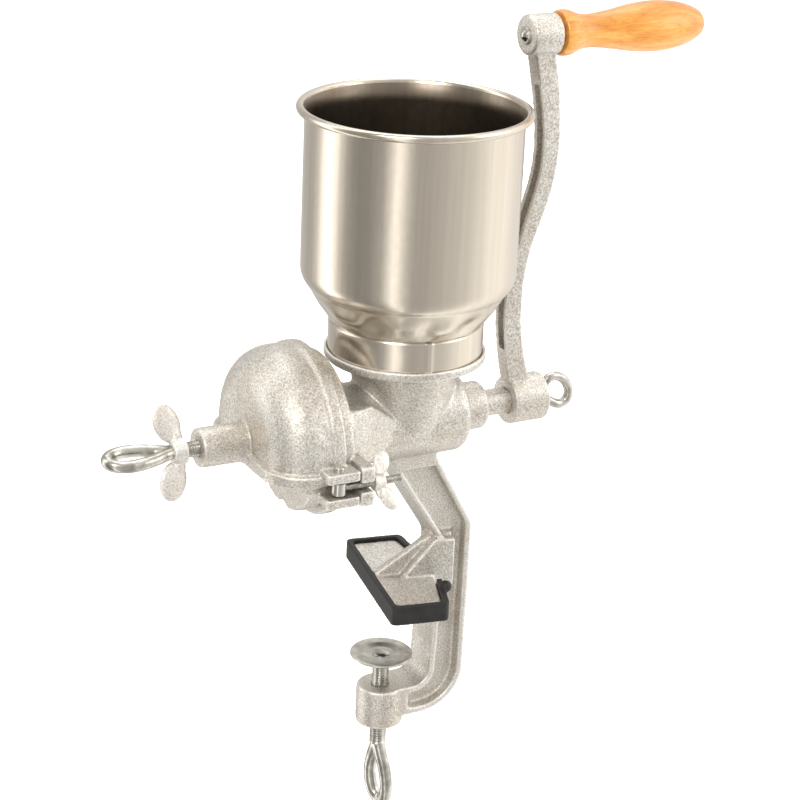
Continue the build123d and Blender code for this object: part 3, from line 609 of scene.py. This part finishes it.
def sheet_hopper():
    """The can with its rolled rim, creased cone and short spigot, and the band around its neck."""
    t = SHEET
    bead = arc_points((RIM_R, RIM_Z), BEAD_R, 178, -168, 26)
    shoulder = arc_points((CAN_R - 16, SHOULDER_Z + 1.0), 16, 0, -46, 8)
    outer = [(CAN_R, RIM_Z - 6)] + [(CAN_R, RIM_Z - 6 - 11.5 * i) for i in range(1, 8)] + shoulder
    outer += flowing([shoulder[-1], (56.5, 78.5), (51.5, 71.5), (NECK_R + 2.2, BAND_TOP + 0.7)], 5)[1:]
    outer += [(NECK_R + 0.6, BAND_TOP - 1.5), (NECK_R, 62), (NECK_R, 58), (28.0, 47.5)]
    inner = [(28.0, 48.5), (NECK_R - t, 58.8), (NECK_R - t, 62.4), (NECK_R + 0.6 - t, BAND_TOP - 1)]
    inner += [(r - t * 0.75, z + t * 0.6) for r, z in reversed(outer[16:-4])]
    inner += [(CAN_R - t, z) for z in (104, 112, 130, 150, 170, 188)]
    loop = bead + outer + inner + [(CAN_R - t, RIM_Z - 1)]
    bm = turned(loop, 200, closed=True, shape=hopper_dents)
    mesh = mesh_of(bm, "hopper_sheet", MILL)
    mesh.materials.append(STAINLESS)
    mesh.materials.append(STAINLESS_INSIDE_PAINTED_SHADE)
    axis = MILL * MM
    # Faces turned in towards the axis take the darker copy, painted shade inside the can.
    for face in mesh.polygons:
        out = Vector((face.center.x - axis.x, face.center.y, 0))
        inward = face.normal.dot(out) < 0 and out.length < (CAN_R - 0.2) * MM
        face.material_index = 1 if inward else 0
    shown("hopper_sheet", mesh, "hopper_unit", None, ["hopper", "hopper_rim_wire"], 50)

    outline = [
        (BAND_R - 1.0, BAND_LOW), (BAND_R, BAND_LOW), (BAND_R, BAND_TOP - 0.9), (BAND_R - 0.9, BAND_TOP),
        (NECK_R + 1.5, BAND_TOP), (NECK_R + 0.4, BAND_TOP - 2.2), (BAND_R - 1.0, BAND_TOP - 2.2)]
    outline = rounded(outline, 0.5, 3)
    dense = []
    for (r0, z0), (r1, z1) in zip(outline, outline[1:] + outline[:1]):
        steps = max(1, int(abs(z1 - z0) / 3))
        dense += [(r0 + (r1 - r0) * i / steps, z0 + (z1 - z0) * i / steps) for i in range(steps)]

    def band_shape(r, z, angle):
        """The lap of the band's seam, and a faint waviness below it."""
        seam = (angle - radians(256) + pi) % (2 * pi) - pi
        step = 0.55 if 0 < seam < 0.09 else 0.0
        return r + step + 0.12 * sin(9 * angle) * exp(-((z - 56) / 6) ** 2), z

    band = mesh_of(turned(dense, 280, closed=True, shape=band_shape), "hopper_band", MILL)
    shown("hopper_band", band, "hopper_unit", STAINLESS, ["hopper_collar"], 40)


# ------------------------------------------------------------------ crank grip and its spindle

def wooden_grip():
    """The turned grip: a collar, a waist and a long belly, bored through for its spindle."""
    z0, z1 = GRIP_LEFT, GRIP_END
    line = [(14.2, z0 + 1.2), (14.3, 102.0), (13.7, 105.0), (12.2, 108.8), (10.9, 113.0), (10.4, 119.0)]
    line += [(11.0, 127.0), (12.6, 138.0), (14.6, 150.0), (15.8, 162.0), (15.8, 172.0), (14.4, 184.0)]
    line += [(11.9, 193.0), (9.0, 199.4), (6.6, z1 - 0.6), (5.6, z1)]
    bore = [(5.5, z1 - 8.6), (GRIP_BORE_R, z1 - 8.6)]
    outline = [(GRIP_BORE_R, z0), (13.2, z0)] + flowing(line, 5) + bore
    mesh = mesh_of(along_x(turned(outline, 96, closed=True)), "wooden_grip", MILL + Vector((0, 0, GRIP_Z)))
    shown("wooden_grip", mesh, "handle", BEECH, ["handle_grip"], 40)


def grip_spindle():
    """The grip's spindle: riveted over a ring behind the crank, with a sunk head in the grip's end."""
    left, right = SPINDLE_LEFT, GRIP_END
    tail = [(0.0, left - 3.7), (1.6, left - 3.5), (2.7, left - 2.9), (3.3, left - 2.0), (3.6, left - 1.9)]
    ring = rounded([(3.6, left - 1.5), (5.6, left - 1.6), (5.7, left - 0.2), (5.7, left + 0.1)], 0.7)
    head_r = SPINDLE_HEAD_R
    shank = [(SPINDLE_R, left + 0.1), (SPINDLE_R, right - 8.8), (head_r, right - 8.8)]
    head = [(head_r, right - 8.7), (head_r, right - 5.8), (3.0, right - 5.2), (0.0, right - 5.2)]
    bm = turned(tail + ring + shank + rounded(head, 0.8), 48)
    mesh = mesh_of(along_x(bm), "grip_spindle", MILL + Vector((0, 0, GRIP_Z)))
    shown("grip_spindle", mesh, "rotor", ZINC, ["handle_spindle", "spindle_ring"], 40)


def crank_eye():
    """A rod bent into an open eye, its shank screwed into the shaft's end."""
    route = [(HUB_RIGHT - 8, 0.0), (HUB_RIGHT + 0.5, -0.3), (107.0, -3.2), (113.0, -7.6)]
    route += [(119.0, -9.6), (124.0, -6.5), (125.0, 0.5), (121.5, 7.2)]
    route += [(115.5, 11.4), (109.0, 11.6), (105.6, 8.6), (104.3, 4.8)]
    rod = bent_rod("crank_eye", [MILL + Vector((x, 0, z)) for x, z in route], CRANK_EYE_ROD_R)
    mesh = mesh_of(rod, "crank_eye_rod")
    shown("crank_eye_rod", mesh, "eye_screw", ZINC, ["crank_eye_screw"], 40)


# ------------------------------------------------------------------ screws, bolts and the clamp's saucer

def adjusting_screw():
    """The screw that sets the burrs' gap, with its forged eye."""
    neck = MILL + Vector((ADJUSTING_NECK_X, 0, 0))
    along, across = Vector((-1, 0, 0)), Vector((0, 0.978, 0.208))
    eye = forged_eye("adjusting_eye", neck, along, across, length=47.0, half_width=12.0, radius=3.9)
    length = ADJUSTING_TIP_X - ADJUSTING_ROD_X
    rod = thread(ADJUSTING_R, length, ADJUSTING_PITCH, TO_X, MILL + Vector((ADJUSTING_ROD_X, 0, 0)))
    shown("adjusting_eye_screw", mesh_of(joined(eye, rod), "adjusting_eye_screw"), "adjuster", ZINC,
          ["adjusting_screw"], 50)


def clamp_screw():
    """The clamp's screw with its forged eye, its plain tip and the rivet head that holds the saucer."""
    neck = Vector((0, 0, CLAMP_NECK_Z))
    along, across = Vector((0, 0, -1)), Vector((0.276, -0.961, 0))
    eye = forged_eye("clamp_eye", neck, along, across, length=48.0, half_width=12.2, radius=4.2, lean=4.0)
    rod = thread(CLAMP_R, CLAMP_ROD_LENGTH, CLAMP_PITCH, UP, Vector((0, 0, CLAMP_ROD_Z)))
    tip = [(0.0, CLAMP_TIP_Z), (CLAMP_TIP_R, CLAMP_TIP_Z), (CLAMP_TIP_R, DISC_Z - 1.4), (0.0, DISC_Z - 1.4)]
    tip = turned(tip, 40)
    shown("clamp_eye_screw", mesh_of(joined(eye, rod, tip), "clamp_eye_screw"), "clamp_screw", ZINC,
          ["clamp_screw"], 50)
    rivet = [(0.0, DISC_Z - 0.3), (3.4, DISC_Z - 0.45), (6.0, DISC_Z - 1.3), (6.0, DISC_Z - 1.6)]
    rivet = rounded(rivet, 0.9, 3) + [(0.0, DISC_Z - 1.6)]
    shown("clamp_rivet_head", mesh_of(turned(rivet, 48), "clamp_rivet_head"), "clamp_screw", ZINC,
          ["clamp_rivet"], 60)


def clamp_saucer():
    """The pressed saucer on the clamp screw: a flat rim around a shallow cup."""
    z = DISC_Z
    top = [(DISC_BORE_R, z - 1.7), (8.6, z - 1.6), (10.4, z - 1.2), (12.6, z - 0.25), (14.5, z)]
    top += [(17.5, z - 0.05), (19.9, z - 0.25)]
    edge = [(20.6, z - 0.9), (20.6, z - 1.7), (20.0, z - 2.2)]
    under = [(16.0, z - 2.3), (12.8, z - 2.6), (10.2, z - 3.7), (8.2, z - 4.2), (DISC_BORE_R, z - 4.2)]
    mesh = mesh_of(turned(flowing(top, 3) + edge + under, 96, closed=True), "clamp_saucer")
    shown("clamp_saucer", mesh, "clamp_foot", DULL_ZINC, ["clamp_disc"], 40)


def swing_bolts():
    """The two bolts that swing in the body's ears, and the riveted pins that they swing on."""
    for side, name in ((-1, "near"), (1, "far")):
        y = side * BOLT_Y
        neck = MILL + Vector((BOLT_NECK_X, y, BOLT_Z))
        eye = keep_side(solid_copy("swing_bolt_" + name), neck, (-1, 0, 0))
        eye = in_millimetres(cast_skin(eye, "bolt_eye", 0.4, 3, lumps=0.03))
        rod = thread(BOLT_R, BOLT_LENGTH, BOLT_PITCH, TO_X, MILL + Vector((BOLT_ROD_X, y, BOLT_Z)))
        mesh = mesh_of(joined(eye, rod), "swing_bolt")
        shown("swing_bolt_" + name + "_threaded", mesh, "bolt_" + name, ZINC,
              ["swing_bolt_" + name], 50)
        head = rounded([(0.0, 14.6), (2.2, 14.5), (3.6, 13.4), (3.6, 11.3)], 0.9)
        pin = [(BOLT_PIN_R, 11.2), (BOLT_PIN_R, -12.4), (2.0, -12.8), (0.0, -12.8)]
        mesh = mesh_of(turned(head + pin, 32), "swing_pin", MILL + Vector((BOLT_PIN_X, y, BOLT_Z)))
        shown("swing_pin_" + name + "_riveted", mesh, "frame", ZINC,
              ["swing_pin_" + name], 40)


def rubber_boot():
    """The rubber moulding that covers the upper jaw plate."""
    mesh = cast_skin(solid_copy("jaw_boot"), "jaw_boot_moulding", 0.6, 6, lumps=0.08)
    shown("jaw_boot_moulding", mesh, "frame", RUBBER, ["jaw_boot"], 60)


def plain_nodes():
    """CAD nodes that stay as they are get the finish of what they are made of."""
    kept = {
        "fixed_burr": BURR_IRON, "rotating_burr": BURR_IRON, "fixed_burr_screws": ZINC, "carrier_pin": ZINC,
        "thrust_washer": ZINC, "thrust_ball": ZINC, "handle_washer": ZINC}
    for node, material in kept.items():
        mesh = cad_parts[node].data
        mesh.materials.clear()
        mesh.materials.append(material)


castings()
wing_nuts()
sheet_hopper()
wooden_grip()
grip_spindle()
crank_eye()
adjusting_screw()
clamp_screw()
clamp_saucer()
swing_bolts()
rubber_boot()
plain_nodes()


# ------------------------------------------------------------------ floor, light and camera

def studio_floor():
    """A plain white floor just under the lowest point, in metres; metals don't reflect it."""
    low = CAD_BOX[0].z - 0.002
    bm = bmesh.new()
    bmesh.ops.create_grid(bm, x_segments=8, y_segments=8, size=9.0)
    bmesh.ops.translate(bm, verts=bm.verts, vec=(0, 0, low))
    mesh = bpy.data.meshes.new("studio_floor")
    bm.to_mesh(mesh)
    bm.free()
    floor = bpy.data.objects.new("studio_floor", mesh)
    bpy.context.scene.collection.objects.link(floor)
    material, tree, shader, place = new_finish(
        "matt_white_floor", Roughness=0.9, Specular_IOR_Level=0.1,
        Emission_Color=linear("#FFFFFF"), Emission_Strength=0.38)
    clouds = speckle(tree, place, 400.0)
    tone = add(tree, "ShaderNodeValToRGB", {"Fac": clouds}, [(0.3, "#F6F5F3"), (0.7, "#F9F9F8")]).outputs[0]
    tree.links.new(tone, shader.inputs["Base Color"])
    mesh.materials.append(material)
    floor.visible_glossy = False


def studio_sky():
    """Soft surroundings: a warm grey room with bright upright windows that band the hopper."""
    world = bpy.data.worlds.new("studio")
    bpy.context.scene.world = world
    world.use_nodes = True
    tree = world.node_tree
    tree.nodes.clear()
    ray = add(tree, "ShaderNodeTexCoord").outputs["Generated"]
    axis = add(tree, "ShaderNodeSeparateXYZ", {0: ray}).outputs

    def math(operation, a, b=0.0, c=0.0):
        """One step of arithmetic in this tree."""
        return add(tree, "ShaderNodeMath", {0: a, 1: b, 2: c}, operation=operation).outputs[0]

    turn = math("ARCTAN2", axis["Y"], axis["X"])
    total = 0.56
    # Each window: its direction and half width in degrees, and its strength.
    windows = [(145, 14, 1.9), (227, 8, 1.4), (345, 42, 0.9)]
    windows += [(283, 20, 0.10), (188, 20, -0.20), (50, 40, 0.25)]
    for centre, width, strength in windows:
        gap = math("FLOORED_MODULO", math("SUBTRACT", turn, radians(centre) - pi), 2 * pi)
        gap = math("DIVIDE", math("SUBTRACT", gap, pi), radians(width))
        bell = math("EXPONENT", math("MULTIPLY", math("POWER", gap, 2.0), -1.0))
        total = math("MULTIPLY_ADD", bell, strength, total)
    overhead = add(tree, "ShaderNodeMapRange", {
        "Value": axis["Z"], "From Min": 0.2, "From Max": 0.9, "To Min": 1.0, "To Max": 1.15}).outputs[0]
    light = math("MULTIPLY", total, overhead)
    shade = add(tree, "ShaderNodeBackground", {"Color": linear("#FFFCF7"), "Strength": light})
    add(tree, "ShaderNodeOutputWorld", {"Surface": shade.outputs[0]})


def soft_box(name, place, aim, size, power, warmth="#FFFFFF"):
    """A rectangular area light at a place in metres, turned towards its aim."""
    lamp = bpy.data.lights.new(name, "AREA")
    lamp.shape = "RECTANGLE"
    lamp.size, lamp.size_y = size
    lamp.energy = power
    lamp.color = linear(warmth)[:3]
    thing = bpy.data.objects.new(name, lamp)
    facing = (Vector(place) - Vector(aim)).to_track_quat("Z", "Y").to_matrix().to_4x4()
    thing.matrix_world = Matrix.Translation(place) @ facing
    thing.visible_camera = False
    bpy.context.scene.collection.objects.link(thing)


def camera():
    """A long lens, looking down on the mill from the front left, with a slight roll."""
    turn, tilt, roll = radians(28.93), radians(21.37), radians(2.61)
    ahead = Vector((sin(turn) * cos(tilt), cos(turn) * cos(tilt), -sin(tilt)))
    right = Vector((cos(turn), -sin(turn), 0))
    up = Vector((sin(turn) * sin(tilt), cos(turn) * sin(tilt), cos(tilt)))
    right, up = right * cos(roll) + up * sin(roll), up * cos(roll) - right * sin(roll)
    lens = bpy.data.cameras.new("camera")
    lens.sensor_width = 36
    lens.lens = 104.8185
    lens.clip_end = 50
    eye = bpy.data.objects.new("camera", lens)
    bpy.context.scene.collection.objects.link(eye)
    turned_to = Matrix((right, up, -ahead)).transposed().to_4x4()
    eye.matrix_world = Matrix.Translation((-0.6573, -1.1990, 0.6672)) @ turned_to
    bpy.context.scene.camera = eye


studio_floor()
studio_sky()
soft_box("key", (-1.6, -1.5, 1.9), (0, 0, 0.15), (1.2, 1.2), 24, "#FFFBF5")
soft_box("fill", (1.7, -1.3, 1.1), (0, 0, 0.12), (1.4, 1.4), 9)
soft_box("top", (0.3, 0.9, 2.2), (0, 0, 0.2), (1.6, 1.6), 12)
camera()
bpy.context.scene.view_settings.view_transform = "Standard"
